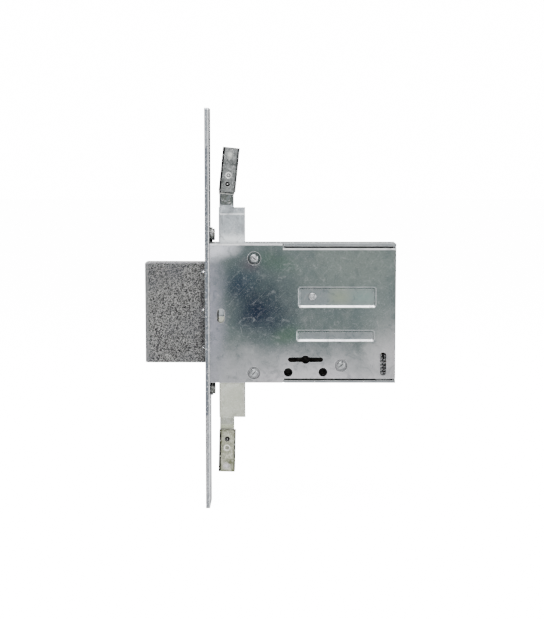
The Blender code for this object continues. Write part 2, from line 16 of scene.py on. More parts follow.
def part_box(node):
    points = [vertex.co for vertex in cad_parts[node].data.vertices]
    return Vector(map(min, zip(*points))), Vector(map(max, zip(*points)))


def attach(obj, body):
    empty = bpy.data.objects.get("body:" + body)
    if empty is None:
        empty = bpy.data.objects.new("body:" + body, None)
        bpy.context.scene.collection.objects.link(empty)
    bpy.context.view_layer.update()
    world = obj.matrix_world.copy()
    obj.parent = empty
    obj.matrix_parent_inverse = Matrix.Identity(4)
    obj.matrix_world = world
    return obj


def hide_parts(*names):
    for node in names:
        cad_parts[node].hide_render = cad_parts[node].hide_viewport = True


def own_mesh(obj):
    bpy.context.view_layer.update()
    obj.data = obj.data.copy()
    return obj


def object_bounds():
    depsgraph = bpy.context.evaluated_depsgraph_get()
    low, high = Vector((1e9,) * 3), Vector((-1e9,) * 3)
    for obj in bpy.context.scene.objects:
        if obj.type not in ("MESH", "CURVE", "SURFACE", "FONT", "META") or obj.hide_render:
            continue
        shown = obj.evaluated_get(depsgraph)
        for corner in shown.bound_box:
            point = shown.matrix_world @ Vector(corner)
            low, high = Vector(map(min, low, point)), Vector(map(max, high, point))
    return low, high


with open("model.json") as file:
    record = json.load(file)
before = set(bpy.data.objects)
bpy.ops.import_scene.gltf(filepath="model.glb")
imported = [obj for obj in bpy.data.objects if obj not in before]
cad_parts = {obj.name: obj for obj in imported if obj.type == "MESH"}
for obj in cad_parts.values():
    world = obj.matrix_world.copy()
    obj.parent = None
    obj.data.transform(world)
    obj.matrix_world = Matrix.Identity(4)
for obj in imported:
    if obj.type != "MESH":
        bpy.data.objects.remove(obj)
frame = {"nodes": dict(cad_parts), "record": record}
cad_box = [list(corner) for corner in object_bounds()]
nodes = frame["nodes"]
MM = 0.001
CLEAR = 1.0


# Node building

EDGE_REACH = 0.35
FRONT_SOFT = 0.3
# BRIGHT_EDGE lightens sharp edges, partly as rubbed wear and partly as a painted highlight; the dark
# colour times the share below is painted shade in crevices.
BRIGHT_EDGE = (240, 242, 244)
CREVICE_SHADE_SHARE = 0.3


class Graph:
    """A small helper that adds shader nodes and joins them."""

    def __init__(self, name):
        self.material = bpy.data.materials.new(name)
        self.material.use_nodes = True
        self.tree = self.material.node_tree
        self.shader = self.tree.nodes["Principled BSDF"]
        self.place = self.add("ShaderNodeTexCoord").outputs["Object"]

    def add(self, kind, **settings):
        node = self.tree.nodes.new(kind)
        for key, value in settings.items():
            setattr(node, key, value)
        return node

    def join(self, source, target):
        if isinstance(source, bpy.types.NodeSocket):
            self.tree.links.new(source, target)
        else:
            target.default_value = source

    def mapped(self, centre=(0, 0, 0), turn=0.0, scale=(1, 1, 1)):
        """Coordinates in millimetres about a centre, turned about Y, then scaled."""
        first = self.add("ShaderNodeMapping")
        first.inputs["Scale"].default_value = (1 / MM, 1 / MM, 1 / MM)
        first.inputs["Location"].default_value = [-c for c in centre]
        self.join(self.place, first.inputs["Vector"])
        second = self.add("ShaderNodeMapping")
        second.inputs["Rotation"].default_value = (0.0, radians(turn), 0.0)
        self.join(first.outputs[0], second.inputs["Vector"])
        third = self.add("ShaderNodeMapping")
        third.inputs["Scale"].default_value = scale
        self.join(second.outputs[0], third.inputs["Vector"])
        return third.outputs[0]

    def noise(self, scale, detail=3.0, roughness=0.55, vector=None, warp=0.0):
        node = self.add("ShaderNodeTexNoise")
        node.inputs["Scale"].default_value = scale
        node.inputs["Detail"].default_value = detail
        node.inputs["Roughness"].default_value = roughness
        node.inputs["Distortion"].default_value = warp
        self.join(vector or self.mapped(), node.inputs["Vector"])
        return node.outputs["Fac"]

    def ranged(self, value, low, high, to_low=0.0, to_high=1.0):
        node = self.add("ShaderNodeMapRange")
        node.interpolation_type = "SMOOTHSTEP"
        for key, item in (("Value", value), ("From Min", low), ("From Max", high)):
            self.join(item, node.inputs[key])
        node.inputs["To Min"].default_value = to_low
        node.inputs["To Max"].default_value = to_high
        return node.outputs["Result"]

    def maths(self, operation, one, two=0.0):
        node = self.add("ShaderNodeMath", operation=operation)
        self.join(one, node.inputs[0])
        self.join(two, node.inputs[1])
        return node.outputs[0]

    def mix(self, share, one, two, blend="MIX"):
        node = self.add("ShaderNodeMix", data_type="RGBA", blend_type=blend)
        colours = [(*c, 1.0) if isinstance(c, tuple) else c for c in (one, two)]
        self.join(share, node.inputs[0])
        self.join(colours[0], node.inputs[6])
        self.join(colours[1], node.inputs[7])
        return node.outputs[2]

    def blob(self, x, z, radius_x, radius_z, turn=0.0, core=0.0, ragged=0.1):
        """A soft oval patch across the XZ plane, with a ragged rim."""
        at = self.mapped((x, 0.0, z), turn, (1 / radius_x, 0.0, 1 / radius_z))
        length = self.add("ShaderNodeVectorMath", operation="LENGTH")
        self.join(at, length.inputs[0])
        wave = self.ranged(self.noise(0.07, 5.0, 0.6), 0.3, 0.7, -ragged, ragged)
        return self.ranged(self.maths("ADD", length.outputs["Value"], wave), 1.0, core)

    def patch(self, x0, z0, x1, z1, soft=0.3, centre=(0, 0, 0), turn=0.0, front=None):
        """1 inside a rectangle across the XZ plane, with soft sides, and only before a plane Y."""
        split = self.add("ShaderNodeSeparateXYZ")
        self.join(self.mapped(centre, turn), split.inputs[0])
        share = 1.0
        for value, low, high in ((split.outputs[0], x0, x1), (split.outputs[2], z0, z1)):
            share = self.maths("MULTIPLY", share, self.ranged(value, low - soft, low + soft))
            share = self.maths("MULTIPLY", share, self.ranged(value, high + soft, high - soft))
        if front is not None:
            near = self.ranged(split.outputs[1], front + FRONT_SOFT, front - FRONT_SOFT)
            share = self.maths("MULTIPLY", share, near)
        return share

    def crevice_shade_and_lit_worn_edges(self, colour, edge, crevice_shade, reach=1.6, edge_share=0.9):
        """Darkens crevices with painted shade, and lightens sharp edges, partly as rubbed wear and
        partly as a painted highlight.
        """
        shade = self.add("ShaderNodeAmbientOcclusion", samples=8)
        shade.inputs["Distance"].default_value = reach * MM
        # Painted shade: crevices found by ambient occlusion are darkened.
        share = self.ranged(shade.outputs["AO"], 0.88, 0.45, 0.0, 0.85)
        colour = self.mix(share, colour, crevice_shade)
        # Edges found by the bevel are lightened: partly rubbed wear, partly a painted highlight.
        rounded = self.add("ShaderNodeBevel", samples=4)
        rounded.inputs["Radius"].default_value = EDGE_REACH * MM
        geometry = self.add("ShaderNodeNewGeometry")
        match = self.add("ShaderNodeVectorMath", operation="DOT_PRODUCT")
        self.join(rounded.outputs[0], match.inputs[0])
        self.join(geometry.outputs["Normal"], match.inputs[1])
        share = self.ranged(match.outputs["Value"], 0.99, 0.86, 0.0, edge_share)
        return self.mix(share, colour, edge)

    def finish(self, colour, roughness, metallic=1.0, bump=None, depth=0.05, strength=0.5):
        self.join(colour, self.shader.inputs["Base Color"])
        self.join(roughness, self.shader.inputs["Roughness"])
        self.shader.inputs["Metallic"].default_value = metallic
        if bump is not None:
            node = self.add("ShaderNodeBump")
            node.inputs["Strength"].default_value = strength
            node.inputs["Distance"].default_value = depth * MM
            self.join(bump, node.inputs["Height"])
            self.join(node.outputs[0], self.shader.inputs["Normal"])
        return self.material


def tone(red, green, blue):
    """A colour from display values of 0 to 255."""
    return tuple(((c / 255 + 0.055) / 1.055) ** 2.4 for c in (red, green, blue))


def clouded(g, cloud, base, light, dark):
    """The film's slow clouds: dark where it is thick and light where it is thin."""
    colour = g.mix(g.ranged(cloud, 0.3, 0.7, 0.45, 1.0), dark, base)
    return g.mix(g.ranged(cloud, 0.55, 0.85, 0.0, 0.45), colour, light)


def tints_and_painted_light(g, colour, fields, patches, centre, turn, front):
    """Oval fields, then straight-sided patches turned about a centre: film tints together with
    painted reflections, highlights and shade.
    """
    for x, z, radius_x, radius_z, lean, share, mark_colour in fields:
        mask = g.maths("MULTIPLY", g.blob(x, z, radius_x, radius_z, lean), share)
        colour = g.mix(mask, colour, mark_colour)
    for box, soft, share, mark_colour in patches:
        mask = g.maths("MULTIPLY", g.patch(*box, soft, centre, turn, front), share)
        colour = g.mix(mask, colour, mark_colour)
    return colour


def scratched(g, grain):
    """Two crossing sets of long scratches."""
    lines = g.noise(1.0, 2.0, 0.6, g.mapped(turn=grain, scale=(0.05, 1.2, 2.2)))
    cross = g.noise(1.0, 2.0, 0.6, g.mapped(turn=-grain * 0.8, scale=(0.06, 1.2, 2.8)))
    return g.maths("MAXIMUM", g.ranged(lines, 0.6, 0.76), g.ranged(cross, 0.64, 0.78))


def plated(name, base, light, dark, fields=(), rough=(0.34, 0.5), speckle=0.5, grain=45.0,
           scratch=0.4, cloud_scale=0.05, patches=(), spots=(), centre=(0, 0, 0), turn=0.0,
           reach=1.4, front=None, contrast=1.0, dot_scale=2.3, edge_share=0.9):
    """Zinc plate: clouded film, patches of tint and of painted light and shade, fine scratches,
    speckle, painted shade in crevices, and edges lightened by wear and by painted highlight.
    """
    g = Graph(name)
    cloud = g.noise(cloud_scale, 5.0, 0.6, warp=0.6)
    colour = clouded(g, cloud, base, light, dark)
    colour = tints_and_painted_light(g, colour, fields, patches, centre, turn, front)
    hue = g.noise(0.16, 4.0, 0.65, warp=1.2)
    colour = g.mix(g.ranged(hue, 0.3, 0.5, 0.4 * contrast, 0.0), colour, dark)
    colour = g.mix(g.ranged(hue, 0.55, 0.75, 0.0, 0.25 * contrast), colour, light)
    dots = g.noise(dot_scale, 3.0, 0.7)
    sparks = g.maths("MULTIPLY", g.ranged(dots, 0.56, 0.72), speckle)
    colour = g.mix(sparks, colour, light)
    pits = g.maths("MULTIPLY", g.ranged(dots, 0.46, 0.32), speckle * 0.8)
    colour = g.mix(pits, colour, dark)
    lines = scratched(g, grain)
    colour = g.mix(g.maths("MULTIPLY", lines, scratch * 0.5), colour, light)
    # Spots: painted highlights, shade and glints on dimples and pins.
    for x, z, radius, mark_colour in spots:
        colour = g.mix(g.blob(x, z, radius, radius, 0.0, 0.8, 0.04), colour, mark_colour)
    # The colour of the painted shade in crevices.
    crevice_shade = tuple(c * CREVICE_SHADE_SHARE for c in dark)
    colour = g.crevice_shade_and_lit_worn_edges(colour, tone(*BRIGHT_EDGE), crevice_shade, reach, edge_share)
    fine = g.noise(1.0, 2.0, 0.5, g.mapped(turn=grain + 8.0, scale=(0.12, 2.0, 4.5)))
    height = g.maths("ADD", g.maths("MULTIPLY", lines, scratch), g.maths("MULTIPLY", fine, 0.7))
    height = g.maths("ADD", height, g.maths("MULTIPLY", dots, 1.2))
    depth = g.maths("ADD", cloud, g.maths("MULTIPLY", dots, 0.3))
    roughness = g.ranged(depth, 0.45, 0.85, rough[0], rough[1])
    return g.finish(colour, roughness, 1.0, height, 0.06, 0.7)


BOLT_REACH = 40.0
# The band at X -38 to -34.3 is the bolt end's lighter smooth border; the band at X -3.2 to 2.0 is
# painted shadow where the bolt meets the faceplate.
BOLT_BORDER_AND_SHADOW = (
    ((-38.0, -34.3), 0.3, 0.5, tone(150, 152, 154)),
    ((-3.2, 2.0), 0.9, 0.45, tone(40, 40, 42)),
)


def blasted(name):
    """Shot-blasted steel: coarse salt-and-pepper grain that runs slantwise, plated over."""
    g = Graph(name)
    slant = g.mapped(turn=40.0, scale=(1.5, 2.2, 2.4))
    coarse = g.noise(1.0, 3.0, 0.75, slant)
    small = g.noise(2.8, 2.0, 0.6)
    both = g.maths("ADD", g.maths("MULTIPLY", coarse, 0.65), g.maths("MULTIPLY", small, 0.35))
    colour = g.mix(g.ranged(both, 0.46, 0.59), tone(20, 20, 23), tone(180, 180, 178))
    smooth = g.noise(0.05, 3.0, 0.5)
    colour = g.mix(g.ranged(smooth, 0.4, 0.7, 0.0, 0.35), colour, tone(96, 98, 104))
    for (x0, x1), soft, share, mark_colour in BOLT_BORDER_AND_SHADOW:
        band = g.maths("MULTIPLY", g.patch(x0, -BOLT_REACH, x1, BOLT_REACH, soft), share)
        colour = g.mix(band, colour, mark_colour)
    colour = g.crevice_shade_and_lit_worn_edges(colour, tone(230, 232, 232), tone(20, 20, 22))
    roughness = g.ranged(both, 0.4, 0.65, 0.38, 0.6)
    return g.finish(colour, roughness, 1.0, both, 0.3, 1.0)


def plain_metal(name, base, dark, rough=(0.25, 0.4), depth=0.02, metallic=1.0):
    g = Graph(name)
    cloud = g.noise(0.35, 4.0, 0.6)
    grain = g.noise(1.0, 2.0, 0.5, g.mapped(scale=(0.3, 3.0, 3.0)))
    colour = g.mix(g.ranged(cloud, 0.35, 0.65), dark, base)
    roughness = g.ranged(grain, 0.3, 0.7, rough[0], rough[1])
    return g.finish(colour, roughness, metallic, grain, depth, 0.4)


# Fields are (x, z, radius in x, radius in z, turn, share, colour), patches are
# ((x0, z0, x1, z1), softness, share, colour), and spots are (x, z, radius, colour).

# Cover fields: painted reflections, namely a dark blue patch left of the middle, a lighter bottom, a
# lighter band along the left and a near-white patch at the top left, with grey-green fields on the
# right and green and purple tints of the passivation film.
COVER_TINTS_AND_REFLECTIONS = (
    (90.0, 30.0, 56.0, 26.0, 0.0, 0.5, tone(116, 124, 118)),
    (104.0, -2.0, 22.0, 34.0, 0.0, 0.5, tone(112, 120, 118)),
    (62.0, -46.0, 105.0, 34.0, 0.0, 1.0, tone(186, 184, 188)),
    (114.0, -28.0, 28.0, 34.0, 0.0, 0.65, tone(186, 184, 186)),
    (12.0, -34.0, 28.0, 26.0, -20.0, 0.7, tone(150, 151, 154)),
    (34.0, 9.0, 46.0, 31.0, -42.0, 0.85, tone(54, 66, 70)),
    (21.5, 17.0, 14.0, 19.0, -30.0, 0.75, tone(26, 42, 58)),
    (32.0, 1.5, 25.0, 21.0, -20.0, 0.95, tone(18, 30, 48)),
    (43.0, 31.0, 20.0, 9.0, -14.0, 0.5, tone(54, 80, 66)),
    (50.0, -13.0, 16.0, 8.0, 20.0, 0.5, tone(58, 86, 64)),
    (27.0, 29.0, 9.0, 7.0, 0.0, 0.5, tone(74, 64, 72)),
    (3.0, -2.0, 13.0, 70.0, 0.0, 0.85, tone(142, 142, 154)),
    (7.0, 38.0, 19.0, 9.0, 12.0, 0.95, tone(214, 216, 224)),
)
# PAINTED_HIGHLIGHT and RIM_HIGHLIGHT are painted highlights, used on the ribs' walls, the cover's
# rounded top edges and the faceplate's right corner.
PAINTED_HIGHLIGHT = tone(250, 251, 252)
RIM_HIGHLIGHT = tone(196, 200, 204)
# Cover patches: lighter rib floors, the upper one darker at its left end; yellow-green and teal film
# tints on the upper rib; painted highlights along the ribs' lower walls, thin painted highlight rims
# round the ribs, and painted highlights along the cover's rounded top edges.
COVER_TINTS_AND_HIGHLIGHTS = (
    ((57.2, 5.2, 74.0, 14.6), 1.2, 0.5, tone(84, 92, 104)),
    ((57.2, 5.2, 101.2, 14.6), 0.5, 0.3, tone(160, 168, 166)),
    ((76.0, 6.2, 86.0, 13.6), 4.5, 0.2, tone(150, 162, 110)),
    ((88.0, 6.2, 101.0, 13.6), 4.5, 0.28, tone(104, 140, 134)),
    ((56.2, -15.4, 100.6, -11.4), 0.5, 0.35, tone(160, 164, 170)),
    ((56.6, 3.6, 102.0, 4.9), 0.2, 0.85, PAINTED_HIGHLIGHT),
    ((55.8, 4.4, 56.5, 15.4), 0.2, 0.3, RIM_HIGHLIGHT),
    ((102.0, 4.4, 102.8, 15.4), 0.2, 0.3, RIM_HIGHLIGHT),
    ((56.4, 15.6, 102.2, 16.3), 0.2, 0.3, RIM_HIGHLIGHT),
    ((55.6, -16.9, 101.2, -15.7), 0.2, 0.85, PAINTED_HIGHLIGHT),
    ((54.8, -16.2, 55.5, -10.4), 0.2, 0.3, RIM_HIGHLIGHT),
    ((101.2, -16.2, 102.0, -10.4), 0.2, 0.3, RIM_HIGHLIGHT),
    ((55.4, -10.4, 101.4, -9.7), 0.2, 0.3, RIM_HIGHLIGHT),
    ((2.9, 41.0, 46.4, 42.2), 0.25, 0.8, PAINTED_HIGHLIGHT),
    ((46.8, 38.3, 114.5, 39.5), 0.2, 0.7, PAINTED_HIGHLIGHT),
)
# NECK_SHADE is painted shade on the upper slide's neck, and SLIDE_HIGHLIGHT a near-white painted
# highlight.
NECK_SHADE = tone(62, 67, 65)
SLIDE_HIGHLIGHT = tone(240, 244, 246)
# Upper slide: painted shade on the neck, lighter in its middle, near-white painted highlight bands
# at Z 59 to 60 and Z 41 to 47, and painted shade along the left edge.
UPPER_SLIDE_LIGHT_AND_SHADE = (
    ((8.0, 64.8, 18.0, 73.0), 0.4, 0.97, NECK_SHADE),
    ((10.5, 66.0, 15.5, 71.0), 1.0, 0.35, tone(100, 104, 96)),
    ((8.0, 59.1, 24.4, 60.0), 0.25, 0.8, SLIDE_HIGHLIGHT),
    ((7.8, 42.0, 8.9, 59.5), 0.3, 0.7, tone(90, 96, 100)),
    ((8.9, 41.0, 24.4, 47.0), 2.5, 0.8, SLIDE_HIGHLIGHT),
)
# Lower slide: painted light and shade down the neck, grey, then greenish, then a near-white painted
# highlight just above the socket; painted shade along both side edges.
LOWER_SLIDE_LIGHT_AND_SHADE = (
    ((8.0, -68.0, 18.0, -64.0), 0.8, 0.6, tone(120, 124, 116)),
    ((8.0, -71.0, 18.0, -68.0), 0.8, 0.6, tone(150, 158, 128)),
    ((8.0, -72.4, 18.0, -70.6), 0.4, 0.9, tone(250, 250, 238)),
    ((7.8, -60.0, 8.8, -42.0), 0.3, 0.7, tone(90, 94, 88)),
    ((23.5, -60.0, 24.4, -42.0), 0.3, 0.6, tone(100, 104, 98)),
)
# FOLD_SHADE is the near-black painted shade on the sockets' folded sides and ends.
FOLD_SHADE = tone(22, 24, 24)
# Upper socket: painted shade on both folded sides, a dark painted shade line at the lower end with a
# painted highlight band below it, and painted shade at the top end.
UPPER_SOCKET_SHADE_AND_HIGHLIGHT = (
    ((-5.4, -6.0, -3.5, 22.5), 0.25, 0.97, FOLD_SHADE),
    ((4.1, -6.0, 5.4, 22.5), 0.2, 0.95, FOLD_SHADE),
    ((-5.4, -5.5, 5.4, -4.7), 0.15, 0.95, FOLD_SHADE),
    ((-5.4, -6.6, 5.4, -5.6), 0.15, 0.6, tone(176, 178, 172)),
    ((-5.4, 21.4, 5.4, 22.5), 0.2, 0.6, FOLD_SHADE),
)
# Lower socket: painted shade on both folded sides and at both ends.
LOWER_SOCKET_SHADE = (
    ((-5.4, -21.0, -3.5, 6.0), 0.25, 0.97, FOLD_SHADE),
    ((4.1, -21.0, 5.4, 6.0), 0.2, 0.95, FOLD_SHADE),
    ((-5.4, 5.2, 5.4, 6.2), 0.2, 0.5, FOLD_SHADE),
    ((-5.4, -21.0, 5.4, -19.7), 0.2, 0.7, FOLD_SHADE),
)


# Faceplate's front edge face: darker above Z -61.8, a painted highlight along the right corner,
# lighter low down at the left, and a dark painted shade line along the left corner.
FACE_EDGE_LIGHT_AND_SHADE = (
    ((0.4, -61.8, 2.7, 100.0), 0.2, 0.8, tone(84, 90, 98)),
    ((2.1, -125.0, 2.8, 125.0), 0.1, 0.95, PAINTED_HIGHLIGHT),
    ((-0.2, -125.0, 1.5, -61.8), 0.2, 0.55, tone(160, 160, 160)),
    ((-0.5, -125.0, 0.5, 125.0), 0.15, 0.6, tone(70, 74, 78)),
)
UPPER_PIN = (13.6, 77.4)
LOWER_PIN = (13.0, -76.9)
# Dimple spots: a painted highlight ring round each dimple with painted shade inside it, and on the
# upper socket a painted glint in the middle.
UPPER_DIMPLE_LIGHT_AND_SHADE = (
    (14.2, 82.6, 2.2, tone(236, 237, 236)),
    (14.2, 82.6, 1.4, tone(104, 106, 106)),
    (14.2, 82.6, 0.6, tone(220, 221, 220)),
)
LOWER_DIMPLE_LIGHT_AND_SHADE = (
    (12.9, -82.3, 2.2, tone(236, 237, 228)),
    (12.9, -82.3, 1.4, tone(128, 130, 118)),
)
# PIN_GLINTS paints a glint on each pin end.
PIN_GLINTS = ((*UPPER_PIN, 0.5, tone(225, 226, 226)), (*LOWER_PIN, 0.5, tone(150, 150, 148)))
UPPER_SOCKET_FIELDS = ((15.2, 94.5, 2.4, 2.8, 0.0, 0.7, tone(228, 230, 222)),)
# A painted sheen on the lower socket's second dimple.
LOWER_DIMPLE_SHEEN = ((12.6, -93.4, 3.4, 3.4, 0.0, 0.8, tone(214, 210, 220)),)


def make_finishes():
    grey = tone(92, 101, 100)
    pale = tone(176, 178, 178)
    deep = tone(66, 78, 80)
    white = tone(244, 246, 248)
    return {
        "cover": plated("zinc_passivated_cover", grey, pale, deep, COVER_TINTS_AND_REFLECTIONS,
                        speckle=0.45, scratch=0.25, patches=COVER_TINTS_AND_HIGHLIGHTS),
        "case": plated("zinc_passivated_case", tone(140, 145, 147), pale, tone(90, 98, 102)),
        "faceplate": plated("zinc_passivated_faceplate", tone(168, 173, 178), white,
                            tone(84, 92, 98), speckle=0.9, cloud_scale=0.1, front=-11.2,
                            dot_scale=1.3, edge_share=0.4, patches=FACE_EDGE_LIGHT_AND_SHADE),
        "inner": plated("zinc_inner", tone(150, 152, 154), pale, tone(100, 104, 108)),
        "pale": plated("zinc_pale", tone(172, 179, 184), white, tone(112, 118, 122),
                       speckle=0.45, cloud_scale=0.12, dot_scale=1.4, contrast=1.5,
                       patches=UPPER_SLIDE_LIGHT_AND_SHADE),
        "lower": plated("zinc_pale_green", tone(190, 193, 180), white,
                        tone(140, 143, 130), speckle=0.6, cloud_scale=0.1, dot_scale=1.4,
                        patches=LOWER_SLIDE_LIGHT_AND_SHADE),
        "socket": plated("zinc_mottled", tone(128, 131, 131), tone(222, 223, 222),
                         tone(48, 52, 52), UPPER_SOCKET_FIELDS, spots=UPPER_DIMPLE_LIGHT_AND_SHADE,
                         speckle=1.0, cloud_scale=0.3, rough=(0.3, 0.45), front=-6.0,
                         contrast=1.8, dot_scale=1.3, edge_share=0.35,
                         patches=UPPER_SOCKET_SHADE_AND_HIGHLIGHT,
                         centre=(UPPER_PIN[0], 0.0, UPPER_PIN[1]), turn=-6.0),
        "yellow": plated("zinc_yellow", tone(168, 170, 152), tone(240, 240, 226),
                         tone(84, 88, 64), LOWER_DIMPLE_SHEEN, spots=LOWER_DIMPLE_LIGHT_AND_SHADE,
                         speckle=0.9, cloud_scale=0.3, front=-7.5,
                         contrast=2.2, dot_scale=1.3, edge_share=0.35,
                         patches=LOWER_SOCKET_SHADE,
                         centre=(LOWER_PIN[0], 0.0, LOWER_PIN[1]), turn=-1.4),
        "screw": plated("zinc_screw", tone(172, 175, 177), white, tone(70, 74, 76), speckle=0.5,
                        cloud_scale=0.5, rough=(0.22, 0.34), reach=1.8, dot_scale=1.3),
        "nut": plated("zinc_nut", tone(130, 132, 126), white, tone(28, 30, 26), speckle=1.0,
                      cloud_scale=0.6, reach=2.6, contrast=2.0, dot_scale=1.1),
        "blasted": blasted("steel_blasted"),
        # The pins are near black as painted shade of the pin holes; PIN_GLINTS adds their glints.
        "pin": plated("steel_pin_painted_shade", tone(18, 18, 18), tone(34, 34, 34), tone(10, 10, 10),
                      speckle=0.0, rough=(0.6, 0.7), edge_share=0.0, spots=PIN_GLINTS),
        "brass": plain_metal("brass_rolled", tone(198, 168, 104), tone(140, 112, 62)),
        "spring": plain_metal("steel_spring", tone(246, 248, 250), tone(190, 192, 194), (0.3, 0.4),
                              metallic=0.4),
        "hard": plain_metal("steel_hardened", tone(60, 60, 58), tone(34, 34, 34), (0.35, 0.5)),
    }


FINISH_OF_SLOT = {
    "case_zinc": "case",
    "inner_zinc": "inner",
    "pale_zinc": "pale",
    "yellow_zinc": "yellow",
    "blasted_steel": "blasted",
    "brass": "brass",
    "spring_steel": "spring",
    "hard_steel": "hard",
}


FINISH_OF_NODE = {
    "case_cover": "cover",
    "faceplate": "faceplate",
    "rod_slide_lower": "lower",
    "socket_pin_upper": "pin",
    "socket_pin_lower": "pin",
    "clinch_nut_upper": "nut",
    "clinch_nut_lower": "nut",
    "bolt_rivet_upper": "blasted",
    "bolt_rivet_middle": "blasted",
    "bolt_rivet_lower": "blasted",
}
BEVEL_OF_NODE = {"case_cover": 0.28, "case_body": 0.3, "faceplate": 0.5, "bolt_head": 0.45}
USUAL_BEVEL = 0.15


def bevelled(obj, width, angle=35.0):
    bevel = obj.modifiers.new("round_edges", "BEVEL")
    bevel.width = width * MM
    bevel.segments = 2
    bevel.limit_method = "ANGLE"
    bevel.angle_limit = radians(angle)


def dress_frame(finishes):
    """Gives each CAD node its finish and rounds its edges."""
    slots = {part["node"]: part["material_slot"] for part in frame["record"]["subparts"]}
    for name, obj in nodes.items():
        finish = FINISH_OF_NODE.get(name, FINISH_OF_SLOT[slots[name]])
        obj.data.materials.clear()
        obj.data.materials.append(finishes[finish])
        if not name.startswith("lever_spring"):
            bevelled(obj, BEVEL_OF_NODE.get(name, USUAL_BEVEL), 30.0)


# Mesh building, in millimetres


def shown(name, mesh, material, body, slot, *replaced):
    """A finished piece: smooth shaded, dressed, on its body, in place of its CAD nodes."""
    obj = bpy.data.objects.new(name, mesh)
    bpy.context.scene.collection.objects.link(obj)
    mesh.shade_smooth()
    mesh.set_sharp_from_angle(angle=radians(40))
    mesh.materials.append(material)
    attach(obj, body)
    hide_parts(*replaced)
    return obj


def skin(name, rings):
    """A closed mesh over rings of points, capped at both ends."""
    bm = bmesh.new()
    verts = [[bm.verts.new(Vector(p) * MM) for p in ring] for ring in rings]
    bm.faces.new(verts[0])
    bm.faces.new(verts[-1])
    count = len(rings[0])
    for one, two in zip(verts, verts[1:]):
        for i in range(count):
            j = (i + 1) % count
            bm.faces.new((one[i], one[j], two[j], two[i]))
    bmesh.ops.recalc_face_normals(bm, faces=bm.faces[:])
    mesh = bpy.data.meshes.new(name)
    bm.to_mesh(mesh)
    bm.free()
    return mesh


def turned(name, profile, x, z, sides=40):
    """A turned mesh about an axis along Y: the profile is a list of (y, radius)."""
    rings = []
    for y, radius in profile:
        turns = [2 * pi * i / sides for i in range(sides)]
        rings.append([(x + radius * cos(t), y, z + radius * sin(t)) for t in turns])
    return skin(name, rings)


def carve(mesh, tool, operation="DIFFERENCE"):
    """Cuts a tool mesh from a mesh, and keeps only the result."""
    obj = bpy.data.objects.new("carved", mesh)
    cutter = bpy.data.objects.new("cutter", tool)
    for item in (obj, cutter):
        bpy.context.scene.collection.objects.link(item)
    change = obj.modifiers.new("cut", "BOOLEAN")
    change.operation = operation
    change.solver = "EXACT"
    change.object = cutter
    graph = bpy.context.evaluated_depsgraph_get()
    done = bpy.data.meshes.new_from_object(obj.evaluated_get(graph))
    for item in (obj, cutter):
        bpy.data.objects.remove(item)
    done.name = mesh.name
    return done


def slot_tool(x, z, turn, half_length, half_width, y0, y1):
    along = Vector((cos(radians(turn)), sin(radians(turn))))
    across = Vector((-along.y, along.x))
    corners = [along * a * half_length + across * b * half_width
               for a, b in ((-1, -1), (1, -1), (1, 1), (-1, 1))]
    return skin("slot_tool", [[(x + c.x, y, z + c.y) for c in corners] for y in (y0, y1)])


def middle(node):
    low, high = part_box(node)
    centre = (low + high) / 2 / MM
    return centre.x, centre.z


# Screws and rivet: heads are lists of (depth below the top, radius)

SCREW_SLOT_TURNS = {
    "cover_screw_upper_front": -42.0,
    "cover_screw_lower_front": 48.0,
    "cover_screw_rear": 38.0,
}
SCREW_HEAD = ((0.0, 1.3), (0.04, 1.75), (0.22, 2.15), (0.5, 2.38), (0.95, 2.4))
SCREW_SHANK_R = 1.25
SCREW_SLOT_HALF_WIDTH = 0.5
SCREW_SLOT_DEPTH = 0.8
HEAD_SLOT_HALF_LENGTH = 3.5
FACE_SLOT_TURNS = {"faceplate_screw_upper": 24.0, "faceplate_screw_lower": -38.0}
FACE_SLOT_HALF_LENGTH = 6.0
FACE_SLOT_HALF_WIDTH = 0.45
FACE_SLOT_DEPTH = 0.7
RIVET_HEAD = ((0.35, 0.5), (0.15, 0.95), (0.0, 1.3), (0.08, 1.75), (0.35, 2.2), (0.7, 2.38))
RIVET_SHANK_R = 1.1
RIVET_FOOT_Y = -8.2
RIVET_FOOT_R = 2.2
RIVET_SLOT_TURN = 62.0
RIVET_SLOT_HALF_WIDTH = 0.26
RIVET_SLOT_DEPTH = 0.4


def headed(name, head, foot, slot_turn, slot_half_width, slot_depth):
    """A turned and slotted piece on a CAD node's axis: its head, then its (y, radius) foot."""
    x, z = middle(name)
    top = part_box(name)[0].y / MM
    profile = [(top + depth, radius) for depth, radius in head] + foot
    mesh = turned(name + "_fine", profile, x, z)
    tool = slot_tool(x, z, slot_turn, HEAD_SLOT_HALF_LENGTH, slot_half_width, top - CLEAR,
                     top + slot_depth)
    return carve(mesh, tool)


def make_screws(finishes):
    for name, turn in SCREW_SLOT_TURNS.items():
        low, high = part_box(name)
        below_head = low.y / MM + SCREW_HEAD[-1][0]
        foot = [(below_head, SCREW_SHANK_R), (high.y / MM, SCREW_SHANK_R)]
        mesh = headed(name, SCREW_HEAD, foot, turn, SCREW_SLOT_HALF_WIDTH, SCREW_SLOT_DEPTH)
        obj = shown(name + "_fine", mesh, finishes["screw"], "lock", "pale_zinc", name)
        bevelled(obj, 0.07)


